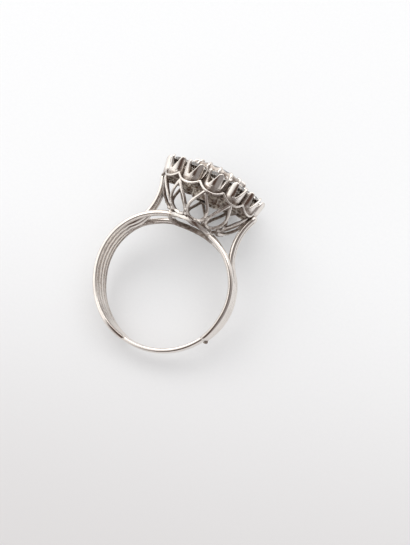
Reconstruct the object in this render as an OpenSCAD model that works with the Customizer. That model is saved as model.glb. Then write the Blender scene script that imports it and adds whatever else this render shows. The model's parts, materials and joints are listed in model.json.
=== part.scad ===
/* [Finger] */
// Inner diameter of the ring
finger_d = 17.3; // [16.5:0.1:18.5]

/* [Shank] */
// Radial thickness of the shank wires
wire_t = 0.78; // [0.7:0.02:0.9]
// Radius of the rounded outside of each shank wire
wire_r = 0.5; // [0.48:0.01:0.54]
// Distance from one shank wire to the next along the finger
wire_pitch = 0.94; // [0.9:0.01:0.95]
// Width of the plain band let in at the back
band_w = 1.7; // [1.4:0.1:1.7]
// Thickness of the plain band
band_t = 0.66; // [0.6:0.02:0.78]
// Angle from the head, on the right, where the wires end at the plain band
band_from = 120; // [110:1:140]
// Angle from the head where the plain band meets the wires again
band_to = 192; // [180:1:200]
// Angle from the head where the two middle wires leave the shank
rise_at = 49; // [46:1:52]

/* [Shoulders] */
// Radius of the curve that the rising wires follow
rise_curve = 7.35; // [6.8:0.05:8]
// Distance across the waist of the rising wires, from the middle of the ring
rise_waist = 6.2; // [6.1:0.05:6.4]
// Height of that waist above the middle of the finger
rise_waist_h = 9.4; // [9:0.1:9.8]
// Height where the rising wires end between two collets
rise_top_h = 12.9; // [12.7:0.05:13.1]
// Radius of the rising wires
rise_r = 0.38; // [0.34:0.01:0.42]

/* [Basket] */
// Radius of the base ring that sits on the finger side
base_r = 3.35; // [3.2:0.05:3.5]
// Width of the base ring's wire
base_w = 0.7; // [0.6:0.05:0.8]
// Thickness of the basket's openwork wall
basket_t = 0.5; // [0.45:0.05:0.6]
// Height of the scalloped edge where it is lowest, under the middle of each collet
scallop_h = 12.8; // [12.75:0.05:12.9]
// How far each scallop hangs below its two ends
scallop_drop = 0.5; // [0.4:0.05:0.55]

/* [Small stones] */
// Diameter of each small stone
stone_d = 2.4; // [2.3:0.05:2.45]
// Radius of the circle of collets at their tops
collet_circle_r = 5.95; // [5.85:0.01:6]
// Height of the collet tops above the middle of the finger
collet_top_h = 15.5; // [15.3:0.05:15.6]
// Outside radius of a collet at its top
collet_r = 1.4; // [1.38:0.01:1.42]
// Height of a collet
collet_h = 2.9; // [2.8:0.05:3]
// Outward lean of a collet
collet_lean = 9; // [6:1:12]
// Width of a collet's notch at its top
notch_w = 1.25; // [1:0.05:1.4]
// Depth of a collet's notch
notch_h = 1.95; // [1.8:0.05:2.1]

/* [Centre stone] */
// Diameter of the centre stone
centre_d = 7; // [6.6:0.1:7.2]
// Height of the centre stone's girdle above the middle of the finger
centre_h = 15.45; // [15.3:0.05:15.6]
// Number of claws that hold the centre stone
claw_count = 8; // [6:1:8]
// Radius of the claw wire
claw_r = 0.24; // [0.22:0.01:0.28]

/* [Hidden] */
$fn = 64;

// Clearance between a stone and the metal that holds it
fit_gap = 0.03;
finger_r = finger_d / 2;
wire_centre_r = finger_r + wire_t - wire_r;
shank_half_w = 1.5 * wire_pitch + wire_r;
// How far pieces are sunk into each other where they are soldered
solder = 0.15;

// The basket's outer wall: height above the middle of the finger, and radius
BASKET = [
    // [height, radius]
    [9.05, 4.0],
    [9.65, 4.75],
    [10.4, 5.5],
    [11.3, 6.05],
    [12.2, 6.42],
    [13.3, 6.65]
];
half_scallop = BASKET[len(BASKET) - 1][1] * tan(15);
scallop_curve = (half_scallop * half_scallop + scallop_drop * scallop_drop) / (2 * scallop_drop);

// Places of the hand-set collets and hand-bent loops round the head, as angles from the finger's direction
COLLET_PLACES = [15, 44, 72, 103, 134, 165, 195, 225, 255, 285, 315.5, 346];
LOOP_PLACES = [11, 48, 87, 126, 163, 199, 233, 266, 300, 336];
// One loop's opening in the basket
LOOP = [
    // [half width, height]
    [0.0, 12.15],
    [0.33, 11.6],
    [0.85, 10.85],
    [1.05, 10.3],
    [1.05, 9.85],
    [0.83, 9.42],
    [0.0, 9.12]
];
// The pointed opening between two loops
SPANDREL = [
    // [half width, height]
    [0.0, 10.18],
    [0.38, 10.8],
    [1.0, 11.55],
    [1.36, 12.02],
    [1.2, 12.3],
    [0.0, 12.35]
];

// Sizes of a brilliant, as shares of its diameter
table_share = 0.57;
crown_share = 0.15;
girdle_share = 0.03;
pavilion_share = 0.41;
culet_share = 0.12;
crown_slope = atan(crown_share / ((1 - table_share) / 2));
pavilion_fall = pavilion_share * 0.79 / (0.5 - culet_share);

// Collet levels above its foot
seat_h = collet_h - 0.62;
collet_foot_r = collet_r - 0.26;
collet_wall = 0.24;

// Centre setting
centre_r = centre_d / 2;
setting_foot_h = 12.0;
setting_foot_r = 2.0;
setting_wall = 0.35;
setting_top_r = centre_r - 0.35;
inner_ring_r = 4.3;
inner_ring_h = 12.75;
inner_ring_wire = 0.25;
spoke_r = 0.22;
claw_tip_r = claw_r + 0.05;

// A small burr where the cut wires end at the band
burr_r = 0.36;

// Height of the centre stone's seat, just under its pavilion, at a distance from the head's axis
function seat_under(r) = centre_h - girdle_share * centre_d / 2 - (centre_r - r) * pavilion_fall - fit_gap;

// Both halves of an outline given as [half width, height] rows
function both_sides(half) = concat(
    half,
    [for (i = [len(half) - 1 : -1 : 0]) if (half[i][0] > 0) [-half[i][0], half[i][1]]]
);

// A point beside a collet's outer notch, some way below its top, as [head direction, finger direction]
function notch_edge(place, drop, side) = let (
    r = collet_r - max(0, drop - collet_h + seat_h) * (collet_r - collet_foot_r) / seat_h,
    half = 0.12 + (notch_w / 2 - 0.07) * (notch_h - drop) / (notch_h + 0.1),
    wall = sqrt(r * r - half * half),
    out = collet_circle_r - drop * sin(collet_lean) + wall * cos(collet_lean),
    up = collet_top_h - drop * cos(collet_lean) - wall * sin(collet_lean)
) [up, out * cos(place) - side * half * sin(place)];

// Such points on the two collets that reach lowest
low_edges = [
    for (place = [165, 195], drop = [0.1 : 0.1 : 1.5], side = [-1, 1]) notch_edge(place, drop, side)
];

// Heights above the floor, before the ring is set down, at a lean of a degrees
function head_low(a) = min([for (p = low_edges) sin(a) * p[0] + cos(a) * p[1]]);
function back_low(a) = sin(a) * wire_centre_r * cos(band_to) - cos(a) * 1.5 * wire_pitch - wire_r;
function settle(low, high, steps) = steps == 0 ? (low + high) / 2 : let (
    mid = (low + high) / 2
) head_low(mid) < back_low(mid) ? settle(mid, high, steps - 1) : settle(low, mid, steps - 1);

// Lean of the finger axis when the ring lies on its side, on its head and the back of its shank
lean = settle(0, 40, 30);
floor_drop = back_low(lean);
front_reach = max(
    cos(lean) * (centre_h + crown_share * centre_d) + sin(lean) * centre_r * table_share,
    max([for (p = low_edges) cos(lean) * p[0] - sin(lean) * p[1]])
);
back_reach = cos(lean) * (finger_r + wire_t) + sin(lean) * shank_half_w * 0.9;
middle = (front_reach - back_reach) / 2;

// Sets the upright ring down on its side
module lay() {
    translate([0, -middle, -floor_drop]) rotate([lean, 0, 0]) children();
}

// Turns a shape that stands on the head's axis to its place round it
module round_head(place) {
    rotate([0, place, 0]) children();
}

// Sweeps an outline round the finger, clockwise between two angles from the head
module round_finger(from, to) {
    rotate([0, 0, 90 - to]) rotate_extrude(angle = to - from, $fn = 96) children();
}

module wire_section(z) {
    intersection() {
        translate([wire_centre_r, z]) circle(wire_r);
        translate([finger_r - 0.05, z - wire_r]) square([wire_t + 0.05, 2 * wire_r]);
    }
}

module shank_wires() {
    rail_end = asin((base_r - solder) / wire_centre_r) - 2;
    for (side = [-1, 1]) {
        // The outer rails run on to the base ring
        round_finger(rail_end, band_from) wire_section(side * 1.5 * wire_pitch);
        round_finger(band_to, 360 - rail_end) wire_section(side * 1.5 * wire_pitch);
        // The middle wires stop where they rise
        round_finger(rise_at, band_from) wire_section(side * 0.5 * wire_pitch);
        round_finger(band_to, 360 - rise_at) wire_section(side * 0.5 * wire_pitch);
    }
}

module plain_band() {
    edge = 0.12;
    half = band_w / 2;
    round_finger(band_from - 1, band_to + 1) polygon([
        [finger_r - 0.05, -half],
        [finger_r + band_t - edge, -half],
        [finger_r + band_t, -half + edge],
        [finger_r + band_t, half - edge],
        [finger_r + band_t - edge, half],
        [finger_r - 0.05, half]
    ]);
}

module wire_burr() {
    rotate([0, 0, 90 - band_from - 0.5])
        translate([wire_centre_r + 0.22, 0, -1.5 * wire_pitch]) rotate([90, 0, 0]) sphere(burr_r, $fn = 32);
}

module rising_wires() {
    centre_x = rise_waist + rise_curve;
    sink = asin((rise_waist_h - wire_centre_r * cos(rise_at + 3)) / rise_curve);
    top = asin((rise_top_h - rise_waist_h) / rise_curve);
    for (side = [0, 1], z = [-0.5, 0.5] * wire_pitch)
        mirror([side, 0, 0]) translate([centre_x, rise_waist_h, z])
            rotate([0, 0, 180 - top]) rotate_extrude(angle = sink + top, $fn = 96)
                translate([rise_curve, 0]) circle(rise_r, $fn = 32);
}

module base_ring() {
    intersection() {
        rotate([-90, 0, 0]) difference() {
            cylinder(r = base_r + base_w / 2, h = 2 * finger_r);
            translate([0, 0, -1]) cylinder(r = base_r - base_w / 2, h = 2 * finger_r + 2);
        }
        cylinder(r = finger_r + wire_t, h = 4 * base_r, center = true, $fn = 96);
    }
}

// The openwork wall between the base ring and the collets
module basket() {
    difference() {
        rotate([-90, 0, 0]) rotate_extrude() polygon(concat(
            [[base_r - base_w / 2 + 0.05, finger_r - 0.6], [base_r + base_w / 2 - 0.05, finger_r - 0.6]],
            [for (row = BASKET) [row[1], row[0]]],
            [for (i = [len(BASKET) - 1 : -1 : 0]) [BASKET[i][1] - basket_t, BASKET[i][0]]]
        ));
        for (i = [0 : len(LOOP_PLACES) - 1]) {
            next = i + 1 < len(LOOP_PLACES) ? LOOP_PLACES[i + 1] : LOOP_PLACES[0] + 360;
            round_head(LOOP_PLACES[i]) translate([0, 0, 3.2])
                linear_extrude(height = 3.6) polygon(both_sides(LOOP));
            round_head((LOOP_PLACES[i] + next) / 2) translate([0, 0, 3.7])
                linear_extrude(height = 3.2) polygon(both_sides(SPANDREL));
        }
        // The scalloped upper edge hangs in an arc under each collet
        for (place = COLLET_PLACES) round_head(place)
            translate([0, scallop_h + scallop_curve, 5.6]) cylinder(r = scallop_curve, h = 1.6);
    }
}

// A collet on its own axis, foot at zero, opening upward along Z
module collet() {
    seat_r = stone_d / 2 + fit_gap;
    difference() {
        rotate_extrude($fn = 48) polygon([
            [collet_foot_r, 0],
            [collet_r, seat_h],
            [collet_r, collet_h - 0.1],
            [collet_r - 0.08, collet_h],
            [collet_r - 0.22, collet_h],
            [seat_r - 0.12, seat_h + girdle_share * stone_d + fit_gap + 0.14],
            [seat_r, seat_h + girdle_share * stone_d + fit_gap],
            [seat_r, seat_h - fit_gap],
            [seat_r - 0.16, seat_h - fit_gap - 0.2],
            [collet_foot_r - collet_wall, 0]
        ]);
        for (turn = [0, 90])
            rotate([90, 0, turn]) linear_extrude(height = 4, center = true) polygon([
                [-notch_w / 2 - 0.05, collet_h + 0.1],
                [-0.12, collet_h - notch_h],
                [0.12, collet_h - notch_h],
                [notch_w / 2 + 0.05, collet_h + 0.1]
            ]);
    }
}

// Puts a shape made on a collet's own axis in its place round the head
module at_collet(place) {
    round_head(place)
        translate([0, collet_top_h, collet_circle_r]) rotate([collet_lean - 90, 0, 0])
            translate([0, 0, -collet_h]) children();
}

module setting_frame() {
    // The ring wire inside the collets, and spokes from it to the centre setting
    rotate([-90, 0, 0]) {
        translate([0, 0, inner_ring_h]) rotate_extrude()
            translate([inner_ring_r, 0]) circle(inner_ring_wire, $fn = 24);
        for (i = [0 : 5])
            rotate([0, 0, (i + 0.5) * 60]) translate([setting_foot_r + 0.2, 0, inner_ring_h])
                rotate([0, 90, 0]) cylinder(r = spoke_r, h = inner_ring_r - setting_foot_r - 0.2, $fn = 24);
        // The centre setting's flared wall
        rotate_extrude() polygon([
            [setting_foot_r, setting_foot_h - 0.15],
            [setting_top_r, seat_under(setting_top_r)],
            [setting_top_r - setting_wall, seat_under(setting_top_r - setting_wall)],
            [setting_foot_r - setting_wall, setting_foot_h - 0.15]
        ]);
    }
}

// A round wire between two points given as [distance from the head's axis, height], and a little past them
module claw_wire(low, high, r) {
    run = high - low;
    past = 0.08;
    translate([0, low[1], low[0]]) rotate([atan2(run[0], run[1]) - 90, 0, 0])
        translate([0, 0, -past]) cylinder(r = r, h = norm(run) + 2 * past, $fn = 24);
}

module claws() {
    foot = [setting_top_r - 0.8, centre_h - 2.2];
    knee = [centre_r + fit_gap + claw_r + 0.03, centre_h - 0.9];
    bend = [knee[0], centre_h + 0.3];
    tip_back = 0.42;
    tip_clear = claw_tip_r + 3 * fit_gap;
    tip = [
        centre_r - tip_back + tip_clear * sin(crown_slope),
        centre_h + girdle_share * centre_d / 2 + tip_back * tan(crown_slope) + tip_clear * cos(crown_slope)
    ];
    for (i = [0 : claw_count - 1]) round_head((i + 0.5) * 360 / claw_count) {
        claw_wire(foot, knee, claw_r);
        claw_wire(knee, bend, claw_r - 0.01);
        claw_wire(bend, tip, claw_r - 0.02);
        translate([0, tip[1], tip[0]]) sphere(claw_tip_r, $fn = 32);
    }
}

// All the soldered metal, with the finger hole cut through it
module mount() {
    color("gainsboro") lay() difference() {
        union() {
            shank_wires();
            plain_band();
            wire_burr();
            rising_wires();
            base_ring();
            basket();
            for (place = COLLET_PLACES) at_collet(place) collet();
            setting_frame();
            claws();
        }
        cylinder(r = finger_r, h = 30, center = true, $fn = 128);
    }
}

// A round brilliant of diameter 1, girdle at zero, table upward along Z
module brilliant() {
    table_r = table_share / 2;
    star_r = table_r + (0.5 - table_r) * 0.42;
    function ring(r, h, n, turn = 0) = [for (i = [0 : n - 1])
        [r * cos(turn + i * 360 / n), r * sin(turn + i * 360 / n), h]];
    points = concat(
        ring(table_r, girdle_share / 2 + crown_share, 8),
        ring(star_r, girdle_share / 2 + crown_share * 0.66, 8, 22.5),
        ring(0.5, girdle_share / 2, 16),
        ring(0.5, -girdle_share / 2, 16),
        ring(culet_share, -girdle_share / 2 - pavilion_share * 0.79, 8, 22.5),
        [[0, 0, -girdle_share / 2 - pavilion_share]]
    );
    hull() polyhedron(points, [[for (i = [0 : len(points) - 1]) i]]);
}

module centre_stone() {
    color("midnightblue") lay() translate([0, centre_h, 0]) rotate([-90, 0, 0])
        scale(centre_d) brilliant();
}

module small_stone(i) {
    color("azure") lay() at_collet(COLLET_PLACES[i])
        translate([0, 0, seat_h + girdle_share * stone_d / 2]) scale(stone_d) brilliant();
}

mount();
centre_stone();
small_stone(0);  // stone_01
small_stone(1);  // stone_02
small_stone(2);  // stone_03
small_stone(3);  // stone_04
small_stone(4);  // stone_05
small_stone(5);  // stone_06
small_stone(6);  // stone_07
small_stone(7);  // stone_08
small_stone(8);  // stone_09
small_stone(9);  // stone_10
small_stone(10);  // stone_11
small_stone(11);  // stone_12
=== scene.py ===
"""A white gold cluster ring that lies on its side on pale paper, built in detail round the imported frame."""

import json
import logging
import math
from collections.abc import Callable, Iterable, Sequence
from dataclasses import dataclass, field
from enum import Enum

import bmesh
import bpy
import numpy as np
from mathutils import Matrix, Vector


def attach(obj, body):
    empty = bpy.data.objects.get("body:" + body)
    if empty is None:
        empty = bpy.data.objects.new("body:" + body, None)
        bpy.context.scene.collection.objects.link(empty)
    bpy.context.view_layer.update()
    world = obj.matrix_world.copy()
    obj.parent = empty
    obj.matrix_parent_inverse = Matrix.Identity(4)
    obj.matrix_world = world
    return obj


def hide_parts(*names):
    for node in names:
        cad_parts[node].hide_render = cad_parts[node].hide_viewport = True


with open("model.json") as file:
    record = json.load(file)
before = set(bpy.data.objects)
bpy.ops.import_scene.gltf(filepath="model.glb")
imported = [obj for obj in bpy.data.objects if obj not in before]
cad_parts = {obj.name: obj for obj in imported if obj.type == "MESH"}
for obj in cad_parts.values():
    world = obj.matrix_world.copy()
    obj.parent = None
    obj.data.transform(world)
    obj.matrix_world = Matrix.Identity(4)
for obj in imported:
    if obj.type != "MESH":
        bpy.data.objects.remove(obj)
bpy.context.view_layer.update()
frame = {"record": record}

LOG = logging.getLogger("cluster_ring")
MM = 0.001

# The ring, upright, in millimetres: X across the finger, Y towards the head, Z along the finger
FINGER_R = 8.65
WIRE_R = 0.5
WIRE_CENTRE_R = 8.93
WIRE_PITCH = 0.94
WALL_MIDDLE_R = FINGER_R + 0.37
# Where the back band starts and ends, and where the middle wires rise, in degrees from the head
BAND_FROM = 117.0
BAND_TO = 187.5
RISE_AT = 49.0
# Places round the head, in degrees from the finger's direction
COLLET_PLACES = (15.0, 44.0, 72.0, 103.0, 134.0, 165.0, 195.0, 225.0, 255.0, 285.0, 315.5, 346.0)
LOOP_PLACES = (11.0, 45.5, 86.0, 126.0, 163.0, 199.0, 233.0, 266.0, 300.0, 336.0)
LOOP_WIDTHS = (1.0, 0.84, 1.08, 1.04, 1.0, 0.98, 0.96, 0.96, 0.98, 1.0)
# The basket's outer wall: height above the middle of the finger, and radius
BASKET = ((8.6, 3.5), (9.05, 4.0), (9.65, 4.75), (10.4, 5.5), (11.3, 6.05), (12.2, 6.42), (13.3, 6.65))
# How the worn shank leaves the true circle: waves round the finger, with a cosine's and a sine's swing
OUT_OF_ROUND = ((2, -0.21, -0.13), (3, -0.11, -0.05))
# How far the lowest wire is pinched inward: angle from the head, and distance
FAR_PINCH = (
    (0, 0.45), (20, 0.38), (36, 0.20), (50, 0.05), (62, 0.0), (200, 0.0), (232, 0.10), (248, 0.22),
    (280, 0.26), (308, 0.32), (323, 0.48), (340, 0.50), (360, 0.45))
PINCH_AT = 1.4

# A rule for the old dirt and painted shade that a piece's points carry
DirtAndShadeRule = Callable[[np.ndarray, np.ndarray], np.ndarray]
Colour = tuple[float, float, float]
Rows = tuple[tuple[float, ...], ...]


class Ends(Enum):
    """How a swept wire ends."""

    ROUND = "round"
    FLAT = "flat"
    JOINED = "joined"


@dataclass(frozen=True)
class Lay:
    """Where the upright ring's directions lie in the frame, because the ring rests on its side."""

    middle: np.ndarray
    basis: np.ndarray

    @classmethod
    def of_record(cls, record: dict) -> "Lay":
        """Reads the lie from the finger hole's mount.

        Args:
            record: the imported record.

        Returns:
            The lie of the ring.
        """
        hole = next(m for m in record["mounts"] if m["name"] == "finger")
        finger = np.array(hole["axis"], float)
        finger /= np.linalg.norm(finger)
        across = np.array((1.0, 0.0, 0.0))
        return cls(np.array(hole["pos_m"], float), np.array((across, np.cross(finger, across), finger)))

    def points(self, upright: np.ndarray) -> np.ndarray:
        """Returns points of the frame, in metres, for points of the upright ring in millimetres."""
        return self.middle + MM * np.asarray(upright, float) @ self.basis

    def upright(self, points: np.ndarray) -> np.ndarray:
        """Returns points of the upright ring, in millimetres, for points of the frame in metres."""
        return (np.asarray(points, float) - self.middle) / MM @ self.basis.T

    def direction(self, upright: Sequence[float]) -> Vector:
        """Returns a direction of the frame for one of the upright ring."""
        return Vector(np.asarray(upright, float) @ self.basis)


LAY = Lay.of_record(frame["record"])


def below(level: np.ndarray, top: float, over: float, most: float = 1.0) -> np.ndarray:
    """A share that grows from nothing at the top, further down.

    Args:
        level: heights, or any like measure.
        top: where the share starts.
        over: how far down it has grown by one.
        most: where it stops growing.

    Returns:
        One share for each level.
    """
    return np.clip((top - level) / over, 0, most)


def swelling(distance: np.ndarray, width: float, height: float) -> np.ndarray:
    """Returns a smooth swelling of the given width and height, full where the distance is zero."""
    return height * np.exp(-((distance / width) ** 2))


def hand_round(points: np.ndarray) -> np.ndarray:
    """Bends the true finger circle to that of a worn hand-made shank, flattened and pinched on its far side.

    Args:
        points: points of the upright ring near its shank.

    Returns:
        The points, moved a few tenths of a millimetre in or out.
    """
    turn = np.arctan2(points[..., 0], points[..., 1])
    out = np.zeros_like(turn)
    for waves, cosine, sine in OUT_OF_ROUND:
        out += cosine * np.cos(waves * turn)
        out += sine * np.sin(waves * turn)
    pinch = np.interp(np.degrees(turn) % 360, *zip(*FAR_PINCH))
    out -= pinch * below(points[..., 2], PINCH_AT, 2 * PINCH_AT, 1.1)
    reach = np.hypot(points[..., 0], points[..., 1])
    bent = points.copy()
    bent[..., 0] *= 1 + out / reach
    bent[..., 1] *= 1 + out / reach
    return bent


def on_finger(turn: np.ndarray, reach: np.ndarray | float, along: np.ndarray | float) -> np.ndarray:
    """Points round the finger.

    Args:
        turn: angles from the head, clockwise seen along the finger, in degrees.
        reach: distances from the finger's axis.
        along: places along the finger.

    Returns:
        An array of points.
    """
    a = np.radians(turn)
    return np.stack(np.broadcast_arrays(reach * np.sin(a), reach * np.cos(a), along), axis=-1)


def round_head(
    place: np.ndarray | float, reach: np.ndarray | float, height: np.ndarray | float,
) -> np.ndarray:
    """Points round the head's axis.

    Args:
        place: angles from the finger's direction, in degrees.
        reach: distances from the head's axis.
        height: heights above the middle of the finger.

    Returns:
        An array of points.
    """
    a = np.radians(place)
    return np.stack(np.broadcast_arrays(reach * np.sin(a), height, reach * np.cos(a)), axis=-1)


def basket_r(height: np.ndarray | float) -> np.ndarray:
    """Returns the outer radius of the basket at a height."""
    rows = np.array(BASKET)
    return np.interp(height, rows[:, 0], rows[:, 1])


def unit(vectors: np.ndarray) -> np.ndarray:
    """Returns the vectors at length one."""
    return vectors / np.maximum(np.linalg.norm(vectors, axis=-1, keepdims=True), 1e-12)


def smooth_through(points: Sequence[Sequence[float]], count: int) -> np.ndarray:
    """A smooth line through a few points.

    Args:
        points: the points to pass through.
        count: how many points to return.

    Returns:
        Points evenly spaced along the line.
    """
    p = np.array(points, float)
    q = np.vstack((2 * p[0] - p[1], p, 2 * p[-1] - p[-2]))
    fine = []
    for i in range(1, len(q) - 2):
        t = np.linspace(0, 1, 24, endpoint=False)[:, None]
        a, b, c, d = q[i - 1], q[i], q[i + 1], q[i + 2]
        fine.append(0.5 * (2 * b + (c - a) * t + (2 * a - 5 * b + 4 * c - d) * t**2
                           + (3 * b - a - 3 * c + d) * t**3))
    line = np.vstack((*fine, p[-1:]))
    run = np.concatenate(([0.0], np.cumsum(np.linalg.norm(np.diff(line, axis=0), axis=1))))
    at = np.linspace(0, run[-1], count)
    return np.stack([np.interp(at, run, line[:, k]) for k in range(line.shape[1])], axis=1)


def wander(at: np.ndarray, seed: int, size: float, waves: int = 5) -> np.ndarray:
    """A small smooth unevenness, as a hand leaves it.

    Args:
        at: places along the work, in radians or any even measure.
        seed: fixes the random draw.
        size: the largest usual swing.
        waves: how many waves are mixed.

    Returns:
        One small number for each place.
    """
    rng = np.random.default_rng(seed)
    total = np.zeros_like(np.asarray(at, float))
    for k in range(1, waves + 1):
        total += rng.normal() / k * np.sin(k * 1.7 * at + rng.uniform(0, math.tau))
    return size * total / 1.6


def round_section(radius: float, count: int = 16) -> np.ndarray:
    """Returns the outline of a round wire as (towards the reference, sideways) rows."""
    a = np.linspace(0, math.tau, count, endpoint=False)
    return radius * np.stack((np.cos(a), np.sin(a)), axis=1)


def bar_section(out: float, inward: float, side: float, square: float, count: int = 28) -> np.ndarray:
    """The outline of a bar that is round outside and flatter on the finger side.

    Args:
        out: reach of the outer half.
        inward: reach of the inner half.
        side: half width.
        square: 2 is round, and more is squarer, for the inner half.
        count: number of points.

    Returns:
        The outline as (outward, sideways) rows.
    """
    a = np.linspace(0, math.tau, count, endpoint=False)
    c, s = np.cos(a), np.sin(a)
    power = np.where(c < 0, 2 / square, 1.0)
    radial = np.where(c < 0, -inward * np.abs(c) ** power, out * c)
    return np.stack((radial, side * np.sign(s) * np.abs(s) ** power), axis=1)


class Shape:
    """A mesh being built in the upright ring's millimetres."""

    def __init__(self) -> None:
        """Starts an empty shape."""
        self.blocks: list[np.ndarray] = []
        self.faces: list[tuple[int, ...]] = []
        self.count = 0

    def grid(self, rows: np.ndarray, joined: bool = False, capped: bool = True) -> None:
        """Adds a skin over rows of points that each run once round.

        Args:
            rows: array of rows by columns by three.
            joined: the last row meets the first.
            capped: the first and last rows are closed.
        """
        n, m, _ = rows.shape
        start = self.count
        self.blocks.append(rows.reshape(-1, 3))
        self.count += n * m
        column = np.arange(m)
        after = (column + 1) % m
        for i in range(n if joined else n - 1):
            a, b = start + i * m, start + (i + 1) % n * m
            self.faces += list(zip(a + column, a + after, b + after, b + column))
        if capped and not joined:
            self.faces.append(tuple(start + column[::-1]))
            self.faces.append(tuple(start + (n - 1) * m + column))

    def sweep(
        self, path: np.ndarray, reference: np.ndarray, section: np.ndarray,
        ends: Ends = Ends.ROUND, scale: np.ndarray | None = None,
    ) -> None:
        """Sweeps an outline along a path.

        Args:
            path: points of the path.
            reference: for each point, or for all, the way that the outline's first axis faces.
            section: the outline.
            ends: how the two ends are finished.
            scale: the outline's size along the path.
        """
        size = np.ones(len(path)) if scale is None else np.asarray(scale, float)
        reference = np.broadcast_to(np.asarray(reference, float), path.shape)
        if ends is Ends.JOINED:
            tangent = unit(np.roll(path, -1, axis=0) - np.roll(path, 1, axis=0))
        else:
            tangent = unit(np.gradient(path, axis=0))
        if ends is Ends.ROUND:
            reach = float(np.abs(section).max())
            arc = np.radians((84.0, 62.0, 36.0))
            head = [path[0] - tangent[0] * reach * size[0] * math.sin(a) for a in arc]
            tail = [path[-1] + tangent[-1] * reach * size[-1] * math.sin(a) for a in arc[::-1]]
            path = np.vstack((head, path, tail))
            reference = np.vstack((*[reference[:1]] * 3, reference, *[reference[-1:]] * 3))
            tangent = np.vstack((*[tangent[:1]] * 3, tangent, *[tangent[-1:]] * 3))
            size = np.concatenate((size[0] * np.cos(arc), size, size[-1] * np.cos(arc[::-1])))
        face = unit(reference - np.sum(reference * tangent, axis=1, keepdims=True) * tangent)
        side = np.cross(tangent, face)
        rows = (
            path[:, None]
            + size[:, None, None] * section[None, :, :1] * face[:, None]
            + size[:, None, None] * section[None, :, 1:] * side[:, None]
        )
        self.grid(rows, joined=ends is Ends.JOINED)

    def lump(self, centre: Sequence[float], radii: Sequence[float], seed: int, uneven: float = 0.1) -> None:
        """Adds a small uneven lump, such as a bead of solder.

        Args:
            centre: its middle.
            radii: its reach along X, Y and Z.
            seed: fixes its unevenness.
            uneven: how uneven it is.
        """
        rings, columns, pole = 9, 14, 0.03
        tilt = np.linspace(pole, math.pi - pole, rings)[:, None]
        turn = np.linspace(0, math.tau, columns, endpoint=False)[None]
        swell = 1 + uneven * np.sin(3 * turn + seed) * np.sin(tilt) + uneven * np.cos(2 * tilt + seed * 1.3)
        ball = np.stack(
            (np.sin(tilt) * np.cos(turn) * swell, np.sin(tilt) * np.sin(turn) * swell,
             np.cos(tilt) * swell + 0 * turn), axis=-1)
        self.grid(np.asarray(centre) + ball * np.asarray(radii))

    def bent(self, bend: Callable[[np.ndarray], np.ndarray]) -> "Shape":
        """Moves every point by a rule and returns the shape itself."""
        self.blocks = [bend(block) for block in self.blocks]
        return self

    def points(self) -> np.ndarray:
        """Returns all the points so far."""
        return np.vstack(self.blocks)


def new_piece(
    name: str, points: np.ndarray, faces: Iterable[Sequence[int]], smooth: bool = True, closed: bool = True,
) -> bpy.types.Object:
    """Makes an object from points of the frame in metres.

    Args:
        name: the piece's name.
        points: its points.
        faces: its faces.
        smooth: whether it is shaded smooth.
        closed: whether its faces are turned outward.

    Returns:
        The new object, in the scene.
    """
    mesh = bpy.data.meshes.new(name)
    mesh.from_pydata(points.tolist(), [], [tuple(int(i) for i in f) for f in faces])
    mesh.validate()
    if closed:
        outward = bmesh.new()
        outward.from_mesh(mesh)
        bmesh.ops.recalc_face_normals(outward, faces=outward.faces)
        outward.to_mesh(mesh)
        outward.free()
    mesh.polygons.foreach_set("use_smooth", [smooth] * len(mesh.polygons))
    mesh.update()
    piece = bpy.data.objects.new(name, mesh)
    bpy.context.scene.collection.objects.link(piece)
    return piece


def mark_dirt_and_shade(piece: bpy.types.Object, rule: DirtAndShadeRule) -> bpy.types.Object:
    """Marks how much old dirt and painted shade lie on each point of a piece.

    Args:
        piece: the piece.
        rule: gives a share from 0 to 1 for upright points and their outward normals.

    Returns:
        The piece.
    """
    mesh = piece.data
    places, normals = (np.zeros(len(mesh.vertices) * 3) for _ in range(2))
    mesh.vertices.foreach_get("co", places)
    mesh.vertex_normals.foreach_get("vector", normals)
    share = rule(LAY.upright(places.reshape(-1, 3)), normals.reshape(-1, 3) @ LAY.basis.T)
    # The mark holds old dirt and painted shade, which darken the materials
    marks = mesh.attributes.new("grime", "FLOAT", "POINT")
    marks.data.foreach_set("value", np.clip(share, 0, 1).astype(np.float32))
    return piece


def evenly(share: float) -> DirtAndShadeRule:
    """Returns a rule that lays the same dirt and painted shade all over a piece."""
    return lambda points, normals: np.full(len(points), share)


def darkened_below(top: float, over: float, most: float = 1.0) -> DirtAndShadeRule:
    """Returns a rule that darkens a piece below a height over the middle of the finger."""
    return lambda points, normals: below(points[:, 1], top, over, most)


def inside_head(points: np.ndarray, normals: np.ndarray) -> np.ndarray:
    """Lays old dirt, where no cloth reaches, and painted shade on all but the outermost skin of the basket,
    on the inner faces that the head shades.

    Args:
        points: points of the upright ring.
        normals: their outward normals.

    Returns:
        A share for each point.
    """
    most, skin, fade = 0.86, 0.76, 0.45
    reach = np.maximum(np.hypot(points[:, 0], points[:, 2]), 0.5)
    outward = (normals[:, 0] * points[:, 0] + normals[:, 2] * points[:, 2]) / reach
    return most * below(outward, skin, fade)


def metal_piece(
    name: str, shape: Shape, finish: bpy.types.Material, dirt_and_shade: DirtAndShadeRule | None = None,
) -> bpy.types.Object:
    """Makes a metal piece that stands for part of the mount.

    Args:
        name: the piece's name.
        shape: its shape in the upright ring's millimetres.
        finish: its material.
        dirt_and_shade: where old dirt and painted shade lie on it.

    Returns:
        The piece, riding on the ring.
    """
    piece = new_piece(name, LAY.points(shape.points()), shape.faces)
    if dirt_and_shade is not None:
        mark_dirt_and_shade(piece, dirt_and_shade)
    return dressed(piece, finish, "mount")


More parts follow.
